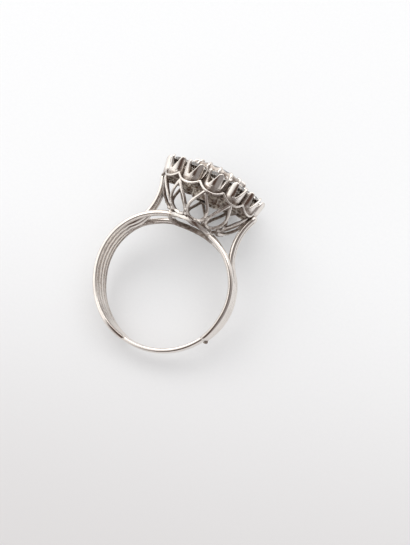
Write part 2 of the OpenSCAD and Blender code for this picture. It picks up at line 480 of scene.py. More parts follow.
def dressed(piece: bpy.types.Object, finish: bpy.types.Material, node: str) -> bpy.types.Object:
    """Gives a piece its material, hangs it on the ring's body and hides the CAD node that it replaces.

    Args:
        piece: the piece.
        finish: its material.
        node: the CAD node it replaces.

    Returns:
        The piece.
    """
    piece.data.materials.append(finish)
    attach(piece, "root")
    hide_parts(node)
    LOG.info("%s: %d faces", piece.name, len(piece.data.polygons))
    return piece


def fused(name: str, shape: Shape, voxel: float, soften: int) -> Shape:
    """Melts overlapping wires into one skin, with the soft corners that solder leaves.

    Args:
        name: a name for the work.
        shape: the overlapping wires, in millimetres.
        voxel: the grain of the melt, in millimetres.
        soften: how many rounds of smoothing follow.

    Returns:
        The melted shape, in millimetres.
    """
    rough = new_piece(name + "_rough", shape.points(), shape.faces)
    melt = rough.modifiers.new("melt", "REMESH")
    melt.mode, melt.voxel_size, melt.use_smooth_shade = "VOXEL", voxel, True
    relax = rough.modifiers.new("relax", "SMOOTH")
    relax.factor, relax.iterations = 0.5, soften
    shown = rough.evaluated_get(bpy.context.evaluated_depsgraph_get())
    mesh = shown.to_mesh()
    points = np.zeros(len(mesh.vertices) * 3)
    mesh.vertices.foreach_get("co", points)
    melted = Shape()
    melted.blocks, melted.count = [points.reshape(-1, 3)], len(mesh.vertices)
    melted.faces = [tuple(p.vertices) for p in mesh.polygons]
    shown.to_mesh_clear()
    bpy.data.objects.remove(rough)
    return melted


class Sheet:
    """A node tree that is being written: a material's, a group's or the world's."""

    def __init__(self, tree: bpy.types.NodeTree) -> None:
        """Takes an empty or new node tree."""
        self.tree = tree

    def node(
        self, kind: str, inputs: dict[str | int, object] | None = None, **settings: object,
    ) -> bpy.types.Node:
        """Adds a node.

        Args:
            kind: Blender's name for its type.
            inputs: socket names or numbers, each with a value or an output to link.
            settings: the node's own settings.

        Returns:
            The node.
        """
        made = self.tree.nodes.new(kind)
        for key, value in settings.items():
            setattr(made, key, value)
        for key, value in (inputs or {}).items():
            if isinstance(value, bpy.types.NodeSocket):
                self.tree.links.new(value, made.inputs[key])
            else:
                made.inputs[key].default_value = value
        return made

    def maths(self, operation: str, *values: object, clamp: bool = False) -> bpy.types.NodeSocket:
        """Returns the result of a Math node on the values."""
        made = self.node("ShaderNodeMath", dict(enumerate(values)), operation=operation, use_clamp=clamp)
        return made.outputs[0]

    def ramp(self, value: bpy.types.NodeSocket, low: float, high: float) -> bpy.types.NodeSocket:
        """Returns the value stretched so that low comes to 0 and high to 1."""
        return self.node(
            "ShaderNodeMapRange", {"Value": value, "From Min": low, "From Max": high},
            interpolation_type="SMOOTHSTEP").outputs["Result"]

    def noise(
        self, place: bpy.types.NodeSocket, scale: object, detail: float = 3.0,
    ) -> bpy.types.NodeSocket:
        """Returns a soft noise of the given scale."""
        made = self.node("ShaderNodeTexNoise", {"Vector": place, "Scale": scale, "Detail": detail})
        return made.outputs["Fac"]

    def mix(self, factor: object, first: object, second: object) -> bpy.types.NodeSocket:
        """Returns a colour between two colours."""
        made = self.node("ShaderNodeMix", {0: factor, 6: first, 7: second}, data_type="RGBA")
        return made.outputs[2]

    def link(self, value: bpy.types.NodeSocket, socket: bpy.types.NodeSocket) -> None:
        """Links an output to an input."""
        self.tree.links.new(value, socket)


def opaque(colour: Colour) -> tuple[float, float, float, float]:
    """Returns the colour with full cover, as a node's socket takes it."""
    return (*colour, 1.0)


def new_material(name: str) -> tuple[bpy.types.Material, Sheet, bpy.types.Node]:
    """Starts a material.

    Args:
        name: its name.

    Returns:
        The material, a sheet to write it on, and its shader.
    """
    made = bpy.data.materials.new(name)
    made.use_nodes = True
    return made, Sheet(made.node_tree), made.node_tree.nodes["Principled BSDF"]


class Effects:
    """The surface effects that several finishes share, each a node group built once."""

    def __init__(self) -> None:
        """Builds the groups."""
        self.scratches = self._scratches()
        self.tarnish_and_shade = self._tarnish_and_shade()

    @staticmethod
    def _group(
        name: str, takes: dict[str, object], gives: dict[str, str],
    ) -> tuple[Sheet, bpy.types.Node, bpy.types.Node]:
        """Starts a group.

        Args:
            name: its name.
            takes: input names and their usual values.
            gives: output names and their socket types.

        Returns:
            A sheet to write the group on, and its input and output nodes.
        """
        tree = bpy.data.node_groups.new(name, "ShaderNodeTree")
        for key, value in takes.items():
            kind = "NodeSocketFloat" if isinstance(value, float) else "NodeSocketColor"
            tree.interface.new_socket(key, in_out="INPUT", socket_type=kind).default_value = value
        for key, kind in gives.items():
            tree.interface.new_socket(key, in_out="OUTPUT", socket_type=kind)
        sheet = Sheet(tree)
        return sheet, sheet.node("NodeGroupInput"), sheet.node("NodeGroupOutput")

    def _scratches(self) -> bpy.types.NodeTree:
        """Builds a group of fine crossing scratches and small dents, as a height and a mask.

        Returns:
            The group.
        """
        sheet, start, end = self._group(
            "handling_scratches", {"Scale": 9000.0, "Dents": 0.35},
            {"Height": "NodeSocketFloat", "Mask": "NodeSocketFloat"})
        place = sheet.node("ShaderNodeTexCoord").outputs["Object"]
        lines: bpy.types.NodeSocket | None = None
        # The scratches' three ways: a turn, and how long they are drawn
        for turn, stretch in ((0.4, 9.0), (1.5, 12.0), (2.6, 7.0)):
            laid = sheet.node(
                "ShaderNodeMapping",
                {"Vector": place, "Rotation": (turn * 1.3, turn, turn * 0.7),
                 "Scale": (1.0, 1.0, 1.0 / stretch)})
            grain = sheet.noise(laid.outputs[0], start.outputs["Scale"], 2.0)
            line = sheet.ramp(grain, 0.60, 0.72)
            lines = line if lines is None else sheet.maths("MAXIMUM", lines, line)
        wide = sheet.noise(place, sheet.maths("MULTIPLY", start.outputs["Scale"], 0.11), 3.0)
        height = sheet.maths("SUBTRACT", sheet.maths("MULTIPLY", wide, start.outputs["Dents"]), lines)
        return self._closed(sheet, end, {"Height": height, "Mask": lines})

    def _tarnish_and_shade(self) -> bpy.types.NodeTree:
        """Builds a group that darkens a metal with old dirt and painted shade in its recesses, soils it in
        soft patches, and darkens it with dirt and painted shade where it is marked.

        Returns:
            The group.
        """
        sheet, start, end = self._group(
            "recess_tarnish",
            {"Metal": (0.8, 0.78, 0.76, 1.0), "Tarnish": (0.2, 0.14, 0.11, 1.0),
             "Fleck": (0.6, 0.54, 0.46, 1.0), "Amount": 0.8, "Reach": 0.0009, "Patches": 0.2},
            {"Color": "NodeSocketColor", "Mask": "NodeSocketFloat", "Height": "NodeSocketFloat"})
        place = sheet.node("ShaderNodeTexCoord").outputs["Object"]
        # Painted shade with old dirt: the metal darkens where ambient occlusion finds it shut in
        hollow = sheet.node("ShaderNodeAmbientOcclusion", {"Distance": start.outputs["Reach"]}, samples=8)
        shut = sheet.maths("SUBTRACT", 1.0, hollow.outputs["AO"])
        cloud = sheet.noise(place, 1300.0, 4.0)
        edge = sheet.maths("MULTIPLY_ADD", sheet.maths("SUBTRACT", cloud, 0.5), 0.5, shut)
        deep = sheet.maths("MULTIPLY", sheet.ramp(edge, 0.24, 0.80), start.outputs["Amount"], clamp=True)
        patch = sheet.ramp(sheet.noise(place, 420.0, 3.0), 0.42, 0.74)
        film_and_shade = sheet.maths("MULTIPLY", patch, start.outputs["Patches"])
        # The marks of old dirt and painted shade that each piece's rule lays
        grime_and_shade_share = sheet.node("ShaderNodeAttribute", attribute_name="grime").outputs["Fac"]
        crust = sheet.maths("MULTIPLY_ADD", sheet.ramp(sheet.noise(place, 2400.0, 4.0), 0.36, 0.62), 0.3, 0.7)
        laid = sheet.maths("MULTIPLY", grime_and_shade_share, crust)
        mask = sheet.maths("MAXIMUM", sheet.maths("MAXIMUM", deep, film_and_shade), laid)
        grain = sheet.noise(place, 2100.0, 6.0)
        # Light flecks in the heaviest marks: grains of dirt, and painted small glints in the shaded inside
        fleck = sheet.maths("MULTIPLY", sheet.ramp(grain, 0.47, 0.58), sheet.ramp(grime_and_shade_share, 0.86, 0.96))
        dirt_and_shade = sheet.mix(fleck, start.outputs["Tarnish"], start.outputs["Fleck"])
        colour = sheet.mix(mask, start.outputs["Metal"], dirt_and_shade)
        return self._closed(
            sheet, end, {"Color": colour, "Mask": mask, "Height": sheet.maths("MULTIPLY", grain, grime_and_shade_share)})

    @staticmethod
    def _closed(
        sheet: Sheet, end: bpy.types.Node, values: dict[str, bpy.types.NodeSocket],
    ) -> bpy.types.NodeTree:
        """Links the values to the group's outputs and returns the group."""
        for name, value in values.items():
            sheet.link(value, end.inputs[name])
        return sheet.tree


@dataclass(frozen=True)
class MetalFinish:
    """Polished white gold as it looks after years of wear, with painted shade in its recesses."""

    name: str
    metal: Colour = (0.86, 0.81, 0.765)
    # The dark colour of old dirt and painted shade, the light flecks in it that also paint small glints, and
    # how strongly and how far into the recesses the painted shade reaches
    tarnish_and_shade: Colour = (0.165, 0.108, 0.076)
    fleck: Colour = (0.60, 0.54, 0.46)
    amount: float = 1.0
    reach: float = 0.0007
    patches: float = 0.14
    polish: float = 0.13
    dullness: float = 0.30
    scratch_scale: float = 9000.0
    scratch_depth: float = 0.0000015
    crust_depth: float = 0.00025

    def material(self, effects: Effects) -> bpy.types.Material:
        """Builds the material.

        Args:
            effects: the shared surface effects.

        Returns:
            The material.
        """
        made, sheet, shader = new_material(self.name)
        shader.inputs["Metallic"].default_value = 1.0
        hollow = sheet.node(
            "ShaderNodeGroup",
            {"Metal": opaque(self.metal), "Tarnish": opaque(self.tarnish_and_shade), "Fleck": opaque(self.fleck),
             "Amount": self.amount, "Reach": self.reach, "Patches": self.patches}, node_tree=effects.tarnish_and_shade)
        marks = sheet.node("ShaderNodeGroup", {"Scale": self.scratch_scale}, node_tree=effects.scratches)
        rough = sheet.maths("MULTIPLY_ADD", hollow.outputs["Mask"], self.dullness, self.polish)
        rough = sheet.maths("MULTIPLY_ADD", marks.outputs["Mask"], 0.05, rough)
        bump = sheet.node(
            "ShaderNodeBump",
            {"Height": marks.outputs["Height"], "Strength": 0.5, "Distance": self.scratch_depth})
        bump = sheet.node(
            "ShaderNodeBump",
            {"Height": hollow.outputs["Height"], "Normal": bump.outputs["Normal"], "Strength": 1.0,
             "Distance": self.crust_depth})
        sheet.link(hollow.outputs["Color"], shader.inputs["Base Color"])
        sheet.link(rough, shader.inputs["Roughness"])
        sheet.link(bump.outputs["Normal"], shader.inputs["Normal"])
        return made


@dataclass(frozen=True)
class StoneFinish:
    """A cut and polished transparent stone, with a film of old soap and painted shade where it is marked."""

    name: str
    light: Colour
    dark: Colour
    bend: float
    clear: float
    zone_scale: float
    shine: float
    # The brown of old soap film and painted shade
    film_and_shade: Colour = (0.36, 0.28, 0.21)

    def material(self, effects: Effects) -> bpy.types.Material:
        """Builds the material.

        Args:
            effects: the shared surface effects.

        Returns:
            The material.
        """
        made, sheet, shader = new_material(self.name)
        shader.inputs["IOR"].default_value = self.bend
        shader.inputs["Transmission Weight"].default_value = self.clear
        shader.inputs["Specular IOR Level"].default_value = self.shine
        place = sheet.node("ShaderNodeTexCoord").outputs["Object"]
        zones = sheet.ramp(sheet.noise(place, self.zone_scale, 2.0), 0.35, 0.65)
        marks = sheet.node("ShaderNodeGroup", {"Scale": 5200.0, "Dents": 0.0}, node_tree=effects.scratches)
        rough = sheet.maths("MULTIPLY_ADD", marks.outputs["Mask"], 0.05, 0.015)
        # Old soap film and painted shade, where the stone is marked
        film_and_shade = sheet.node("ShaderNodeAttribute", attribute_name="grime").outputs["Fac"]
        colour = sheet.mix(zones, opaque(self.light), opaque(self.dark))
        sheet.link(sheet.mix(film_and_shade, colour, opaque(self.film_and_shade)), shader.inputs["Base Color"])
        sheet.link(rough, shader.inputs["Roughness"])
        return made


@dataclass
class Shank:
    """The four wires side by side, the plain back band let into them, and the marks of that work."""

    finish: bpy.types.Material
    steps_per_degree: float = 0.75
    rail_end: float = 19.5
    inner_end: float = RISE_AT + 11.0
    wire_square: float = 1.45
    # How far the hand strayed, along the finger and in or out
    sway: float = 0.02
    unevenness: float = 0.010
    # Where a wire is thinner, at the cuts and where an inner wire ends: how far round, and by what share
    cut_wear: tuple[float, float] = (1.6, 0.16)
    inner_taper: tuple[float, float] = (5.0, 0.24)
    # Share of its place along the finger that each wire keeps at the cuts, and how far round that is felt
    drawn_in: tuple[float, float, float, float] = (0.66, 0.66, 0.36, 0.36)
    drawn_over: float = 24.0
    band_half: float = 0.85
    band_out: float = 9.36
    band_lap: float = 1.5
    band_square: float = 0.7
    # Faint hollows across the band, in degrees from the head
    old_seams: tuple[float, float] = (158.0, 170.0)
    # The solder at each cut: from where to where along the finger, and a bead's radii
    seam_along: tuple[float, float] = (-0.95, 0.45)
    seam_bead: tuple[float, float, float] = (0.2, 0.2, 0.24)
    # Old dirt and painted shade between the wires: angle from the head, and share
    groove_dirt_and_shade: Rows = ((0, 0.9), (30, 0.5), (60, 0.2), (205, 0.15), (250, 0.75), (335, 0.95), (360, 0.9))
    # Beads of solder beside the base ring: angle from the head, reach, place along the finger, and size
    solder: Rows = (
        (18.6, 9.18, 1.45, 0.46), (16.6, 9.3, 1.45, 0.40), (340.5, 9.3, 1.6, 0.34), (344.0, 9.42, 1.85, 0.26),
        (342.0, 8.98, 1.2, 0.4), (346.0, 8.98, 1.4, 0.36))

    def build(self) -> list[bpy.types.Object]:
        """Builds the wires, the band, the solder and the wire end.

        Returns:
            The pieces.
        """
        wires = [self._wire(row) for row in range(4)]
        return wires + [self._band(), self._seams(), self._wire_end()]

    def _wire(self, row: int) -> bpy.types.Object:
        """Builds both runs of one wire.

        Args:
            row: the wire's number, from the far side of the ring.

        Returns:
            The piece.
        """
        along = (row - 1.5) * WIRE_PITCH
        inner = row in (1, 2)
        start = self.inner_end if inner else self.rail_end
        kept = self.drawn_in[row]
        section = bar_section(WIRE_R, WIRE_CENTRE_R - FINGER_R, WIRE_R, self.wire_square)
        shape = Shape()
        for side, (low, high) in enumerate(((start, BAND_FROM), (BAND_TO, 360.0 - start))):
            turn = np.linspace(low, high, int((high - low) * self.steps_per_degree))
            sway = wander(np.radians(turn), 10 * row + side, self.sway)
            reach = WIRE_CENTRE_R + wander(np.radians(turn), 50 + 10 * row + side, self.unevenness)
            near_cut = np.minimum(np.abs(turn - BAND_FROM), np.abs(turn - BAND_TO))
            opened = np.sin(np.clip(near_cut / self.drawn_over, 0, 1) * math.pi / 2) ** 1.3
            path = on_finger(turn, reach, along * (kept + (1 - kept) * opened) + sway)
            size = 1 - swelling(near_cut, *self.cut_wear)
            if inner:
                size -= swelling(np.minimum(turn, 360.0 - turn) - start, *self.inner_taper)
            shape.sweep(path, on_finger(turn, 1.0, 0.0), section, Ends.FLAT, size)
        return metal_piece(f"shank_wire_{row + 1}", shape.bent(hand_round), self.finish, self._groove)

    def _groove(self, points: np.ndarray, normals: np.ndarray) -> np.ndarray:
        """Lays old dirt and painted shade along the lower inner edge of each wire, where the wires shade each
        other, mostly on the left.

        Args:
            points: points of the upright ring.
            normals: their outward normals.

        Returns:
            A share for each point.
        """
        reach = np.hypot(points[:, 0], points[:, 1])
        inward = -(normals[:, 0] * points[:, 0] + normals[:, 1] * points[:, 1]) / reach
        turn = np.degrees(np.arctan2(points[:, 0], points[:, 1])) % 360
        facing = 0.72 * inward - 0.70 * normals[:, 2]
        lowest_wire = points[:, 2] < -1.15
        edge = np.where(lowest_wire, 0.12, 0.36)
        share = np.interp(turn, *zip(*self.groove_dirt_and_shade))
        return np.clip((facing - edge) / 0.4, 0, 1) * share

    def _band(self) -> bpy.types.Object:
        """Builds the plain back band, its edges softened by wear.

        Returns:
            The piece.
        """
        turn = np.linspace(BAND_FROM - self.band_lap, BAND_TO + self.band_lap, 240)
        at = np.radians(turn)
        a = np.linspace(0, math.tau, 32, endpoint=False)
        c, s = np.cos(a), np.sin(a)
        section = np.stack(
            ((self.band_out - FINGER_R) / 2 * np.sign(c) * np.abs(c) ** self.band_square,
             self.band_half * np.sign(s) * np.abs(s) ** self.band_square), axis=1)
        reach = (FINGER_R + self.band_out) / 2 + wander(at, 7, 0.008)
        size = 1 - sum(swelling(turn - seam, 0.4, 0.01) for seam in self.old_seams)
        shape = Shape()
        shape.sweep(
            on_finger(turn, reach, wander(at, 8, 0.02)), on_finger(turn, 1.0, 0.0), section, Ends.FLAT, size)
        return metal_piece("back_band", shape.bent(hand_round), self.finish)

    def _seams(self) -> bpy.types.Object:
        """Builds the uneven solder where the band meets the wires, and the beads beside the base ring.

        Returns:
            The piece.
        """
        shape = Shape()
        for turn in (BAND_FROM - 0.1, BAND_TO + 0.1):
            for k, along in enumerate(np.linspace(*self.seam_along, 6)):
                reach = WALL_MIDDLE_R + 0.02 * math.sin(3 * k + turn)
                shape.lump(on_finger(np.array(turn), reach, along), self.seam_bead, k + int(turn), 0.06)
        for turn, reach, along, size in self.solder:
            bead = on_finger(np.array(turn), reach, along)
            shape.lump(bead, (size, size * 0.9, size), int(turn + 10 * reach), 0.1)
        return metal_piece("band_seams", shape.bent(hand_round), self.finish)

    def _wire_end(self) -> bpy.types.Object:
        """Builds the small proud end of a cut wire beside the band.

        Returns:
            The piece.
        """
        shape = Shape()
        # Angle on from the cut, reach, place along the finger, radii, and what fixes the unevenness
        for onward, reach, along, radii, seed in (
            (0.6, 9.25, -1.2, (0.38, 0.3, 0.34), 3),
            (-1.2, 9.12, -1.1, (0.36, 0.34, 0.4), 5),
        ):
            shape.lump(on_finger(np.array(BAND_FROM + onward), reach, along), radii, seed, 0.06)
        # Painted shade and old dirt all over the cut end, which sits in the gap at the cut
        return metal_piece("cut_wire_end", shape.bent(hand_round), self.finish, evenly(0.95))


@dataclass
class Shoulders:
    """The pair of middle wires that rises from the shank to the head on each side."""

    finish: bpy.types.Material
    wire_r: float = 0.38
    # The bow that each side bends in, about a middle at the waist's height
    curve: float = 7.35
    waist_height: float = 9.4
    top_height: float = 12.3
    right_waist: float = 6.22
    left_waist: float = 6.02
    # The two legs' distance from the ring's middle, and how much they close towards the top
    leg_half: float = 0.50
    leg_closing: float = 0.045
    # The foot in the shank: angle from the head, and distance from the finger's axis
    foot: Rows = ((70.0, 9.02), (66.0, 9.03), (62.5, 9.05), (59.3, 9.09))
    foot_half: float = 0.47
    # The wire's thickness: height above the middle of the finger, and share of the usual
    thickness: Rows = ((3.0, 0.85), (4.6, 1.0), (5.6, 1.12), (8.0, 1.0), (13.0, 0.92))
    # Further down than this height the wires follow the worn shank, fully so after this much
    follow_below: float = 7.6
    follow_over: float = 2.4

    def build(self) -> list[bpy.types.Object]:
        """Builds both shoulders.

        Returns:
            The pieces.
        """
        return [self._side("right", 1.0, self.right_waist), self._side("left", -1.0, self.left_waist)]

    def _side(self, name: str, sign: float, waist: float) -> bpy.types.Object:
        """Builds one shoulder, a wire bent double at its top.

        Args:
            name: the side's name.
            sign: 1 on the right, -1 on the left.
            waist: how far it stands off from the head's axis where it comes nearest.

        Returns:
            The piece.
        """
        foot_height = WIRE_CENTRE_R * math.cos(math.radians(RISE_AT + 6))
        low = -math.asin((self.waist_height - foot_height) / self.curve)
        top = math.asin((self.top_height - self.waist_height) / self.curve)
        a = np.linspace(low, top, 40)
        centre = waist + self.curve
        half = self.leg_half - self.leg_closing * np.clip((a - low) / (top - low) * 2, 0, 1)
        leg = np.stack(
            (centre - self.curve * np.cos(a), self.waist_height + self.curve * np.sin(a), half), axis=1)
        foot = on_finger(*np.array(self.foot).T, self.foot_half)
        leg = smooth_through(np.vstack((foot, leg[1::3], leg[-1:])), 64)
        onward = unit(leg[-1] - leg[-2])
        onward[2] = 0.0
        turn = np.linspace(0, math.pi, 11)[1:-1, None]
        bend = leg[-1] * (1, 1, 0) + half[-1] * (np.sin(turn) * onward + np.cos(turn) * np.array((0, 0, 1.0)))
        path = np.vstack((leg, bend, (leg * (1, 1, -1))[::-1]))
        face = np.stack((path[:, 0] - centre, path[:, 1] - self.waist_height, 0 * path[:, 2]), axis=1)
        size = np.interp(path[:, 1], *zip(*self.thickness))
        path[:, 0] *= sign
        path += below(path[:, 1:2], self.follow_below, self.follow_over) * (hand_round(path) - path)
        face[:, 0] *= sign
        shape = Shape()
        shape.sweep(path, face, round_section(self.wire_r, 18), Ends.ROUND, size)
        return metal_piece(f"shoulder_wires_{name}", shape, self.finish)


@dataclass
class Basket:
    """The base ring, the hand-bent loops and the scalloped wire, soldered into one openwork basket."""

    finish: bpy.types.Material
    voxel: float = 0.06
    base_r: float = 3.35
    base_half: float = 0.36
    base_side: float = 0.33
    base_square: float = 2.6
    wire: float = 0.215
    # Half of a loop's outline, pinched at its top: distance aside, and height
    half_loop: Rows = (
        (0.0, 12.52), (0.27, 12.1), (0.55, 11.65), (1.08, 10.85), (1.27, 10.3), (1.28, 9.85), (1.1, 9.38),
        (0.68, 9.03), (0.0, 8.88))
    loop_foot: float = 9.1
    # Solder between one loop and the next: height, and size
    joints: Rows = ((9.22, 0.24), (9.75, 0.17))
    scallop_wire: float = 0.155
    scallop_low: float = 12.52
    scallop_rise: float = 0.78
    # Reach of a curve's ends, how much further its middle stands out, and how much less on the paper's side
    scallop_r: float = 6.52
    scallop_swell: float = 0.20
    scallop_inset: float = 0.17

    def build(self) -> list[bpy.types.Object]:
        """Builds the basket.

        Returns:
            The pieces.
        """
        shape = Shape()
        self._loops(shape)
        self._scallops(shape)
        self._base(shape)
        melted = fused("basket", shape, self.voxel, 3)
        # Old dirt and painted shade on the basket's inner faces
        return [metal_piece("openwork_basket", melted, self.finish, inside_head)]

    def _loops(self, shape: Shape) -> None:
        """Adds the teardrop loops and the solder between them.

        Args:
            shape: the shape they are added to.
        """
        right = smooth_through(self.half_loop, 26)
        line = np.vstack((right, (right * (-1, 1))[::-1][1:]))
        for k, place in enumerate(LOOP_PLACES):
            rng = np.random.default_rng(200 + k)
            tall = rng.normal(0, 0.04)
            wide = LOOP_WIDTHS[k] * (1 + rng.normal(0, 0.03))
            tilt = rng.normal(0, 0.05)
            side = line[:, 0] * wide + tilt * (line[:, 1] - self.loop_foot) / 3
            height = line[:, 1] + tall * (line[:, 1] - self.loop_foot) / 3
            reach = basket_r(height) - self.wire
            path = round_head(place + np.degrees(np.arcsin(side / reach)), reach, height)
            shape.sweep(path, path * (1, 0, 1), round_section(self.wire, 12))
            onward = (LOOP_PLACES[(k + 1) % len(LOOP_PLACES)] - place) % 360
            for high, size in self.joints:
                joint = round_head(place + onward / 2, basket_r(high) - self.wire, high)
                shape.lump(joint, (size, 0.36, size), 90 + k, 0.04)

    def _scallops(self, shape: Shape) -> None:
        """Adds the wire that hangs in a curve under each collet, set in a little on the paper's side.

        Args:
            shape: the shape it is added to.
        """
        places = np.array(COLLET_PLACES)
        before = np.append(places[-1] - 360, places[:-1])
        after = np.append(places[1:], places[0] + 360)
        s = np.linspace(-1, 1, 21)
        for last, place, following in zip(before, places, after):
            low, high = (last + place) / 2, (place + following) / 2
            turn = np.where(s < 0, place + (place - low) * s, place + (high - place) * s)
            height = self.scallop_low + self.scallop_rise * np.abs(s) ** 2.2
            beneath = np.clip(-np.cos(np.radians(turn)) * 1.4, 0, 1)
            reach = self.scallop_r + self.scallop_swell * (1 - s**2) - self.scallop_inset * beneath
            path = round_head(turn, reach, height)
            shape.sweep(path, path * (1, 0, 1), round_section(self.scallop_wire, 12))

    def _base(self, shape: Shape) -> None:
        """Adds the base ring, which follows the finger hole's curve.

        Args:
            shape: the shape it is added to.
        """
        path = round_head(np.linspace(0, 360, 96, endpoint=False), self.base_r, 0.0)
        path[:, 1] = np.sqrt(WALL_MIDDLE_R ** 2 - path[:, 0] ** 2)
        path = hand_round(path)
        section = bar_section(self.base_half, self.base_half, self.base_side, self.base_square, 20)
        shape.sweep(path, path * (1, 1, 0), section, Ends.JOINED)


@dataclass
class Collet:
    """One notched collet: a tapered cup whose wall is cut into four prongs."""

    finish: bpy.types.Material
    number: int
    place: float
    twist: float
    circle_r: float = 5.95
    top_height: float = 15.5
    lean: float = 9.0
    top_r: float = 1.4
    foot_r: float = 1.18
    foot_round: float = 0.10
    wall: float = 0.31
    height: float = 2.9
    seat: float = 2.28
    # A notch between prongs: its size, the run of its sides, its blunt foot, and how far that lies aside
    notch_width: float = 1.56
    notch_depth: float = 2.28
    notch_slope: float = 0.93
    notch_blunt: float = 0.05
    skew: float = -0.38
    # How much a prong's tip is domed, and drawn in over the stone
    prong_dome: float = 0.16
    prong_draw: float = 0.10

    def _rim(self, across: np.ndarray) -> np.ndarray:
        """The height of the cut edge over one quarter of the cup, a notch between two half prongs.

        Args:
            across: distances from the quarter's middle.

        Returns:
            A height for each.
        """
        half = self.notch_width / 2
        reach = np.where(across < self.skew, half + self.skew, half - self.skew)
        s = np.clip(np.abs(across - self.skew) / reach, 0, 1)
        rise = np.sqrt((s * self.notch_slope) ** 2 + self.notch_blunt)
        vee = self.height - self.notch_depth * (
            1 - rise / math.sqrt(self.notch_slope**2 + self.notch_blunt)) ** 0.86
        prong = np.abs(across) - half
        tip = math.pi * self.top_r / 4 - half
        dome = self.height - self.prong_dome * np.clip(1 - prong / tip, 0, 1) ** 2
        return np.where(s < 1, np.minimum(vee, self.height - self.prong_dome), dome)

    def build(self) -> bpy.types.Object:
        """Builds the collet.

        Returns:
            The piece.
        """
        quarter = math.pi * self.top_r / 2
        fine = np.linspace(-quarter / 2, quarter / 2, 400)
        run = np.concatenate(([0.0], np.cumsum(np.hypot(np.diff(fine), np.diff(self._rim(fine))))))
        across = np.interp(np.linspace(0, run[-1], 31)[:-1], run, fine)
        turn = np.concatenate([across / self.top_r + q * math.pi / 2 for q in range(4)])
        top = np.tile(self._rim(across), 4)
        rng = np.random.default_rng(400 + self.number)
        top = top + 0.025 * np.sin(turn * 2 + rng.uniform(0, 6)) * (top > self.height - 0.3)
        twist = self.twist + rng.normal(0, 1.0)
        shape = Shape()
        shape.grid(np.swapaxes(self._wall(turn, top), 0, 1), joined=True)
        shape.bent(lambda points: self.put(points, twist))
        return metal_piece(f"collet_{self.number:02d}", shape, self.finish, self._cup_shade_and_dirt)

    def put(self, points: np.ndarray, twist: float) -> np.ndarray:
        """Moves points from the collet's own axis, its foot at zero, to its place on the head.

        Args:
            points: the points.
            twist: a turn about the collet's own axis, in degrees.

        Returns:
            Points of the upright ring.
        """
        own = Matrix.Translation((0, 0, -self.height)) @ Matrix.Rotation(math.radians(twist), 4, "Z")
        stand = Matrix.Rotation(math.radians(self.lean - 90), 4, "X")
        round_to = Matrix.Rotation(math.radians(self.place), 4, "Y")
        carry = round_to @ Matrix.Translation((0, self.top_height, self.circle_r))
        whole = np.array(carry @ stand @ own)
        return points @ whole[:3, :3].T + whole[:3, 3]

    def _cup_shade_and_dirt(self, points: np.ndarray, normals: np.ndarray) -> np.ndarray:
        """Lays old dirt and painted shade inside the cup and round its foot.

        Args:
            points: points of the upright ring.
            normals: their outward normals.

        Returns:
            A share for each point.
        """
        foot, top = (self.put(np.array(((0.0, 0.0, z),)), 0)[0] for z in (0.0, self.height))
        axis = (top - foot) / self.height
        up = (points - foot) @ axis
        out = unit(points - foot - up[:, None] * axis)
        inner = np.clip(-np.sum(out * normals, axis=1) * 1.6 + 0.1, 0, 1) * below(up, self.height, 0.35)
        round_foot = below(up, 0.95, 0.4, 0.9)
        return np.maximum(inner, round_foot)

    def _wall(self, turn: np.ndarray, top: np.ndarray) -> np.ndarray:
        """Builds closed cuts through the wall, one for each column round the collet.

        Args:
            turn: the columns' angles.
            top: the wall's height at each.

        Returns:
            An array of points of each cut by columns by three, on the collet's own axis.
        """
        half = self.wall / 2
        up = np.linspace(0, 1, 9)[:, None]
        body = self.foot_round + up * (top - half - self.foot_round)[None]
        crest = (top - half)[None]
        over = np.linspace(0, math.pi, 8)[1:-1, None]
        under = np.linspace(0, math.pi, 5)[1:-1, None]
        r = np.vstack((
            self._outer(body),
            self._outer(crest) - half + half * np.cos(over),
            self._outer(body[::-1]) - self.wall,
            self._outer(body[:1]) - half - half * np.cos(under)))
        z = np.vstack((
            body,
            crest + half * np.sin(over),
            body[::-1],
            self.foot_round - self.foot_round * np.sin(under) + 0 * top[None]))
        return np.stack((r * np.sin(turn), -r * np.cos(turn), z), axis=-1)

    def _outer(self, height: np.ndarray) -> np.ndarray:
        """The cup's outer radius, drawn in a little at the prong tips.

        Args:
            height: heights above its foot.

        Returns:
            A radius for each.
        """
        grow = np.clip(height / self.seat, 0, 1)
        swell = self.foot_r + (self.top_r - self.foot_r) * grow ** 0.85
        return swell - self.prong_draw * np.clip((height - self.seat - 0.1) / 0.55, 0, 1) ** 1.6


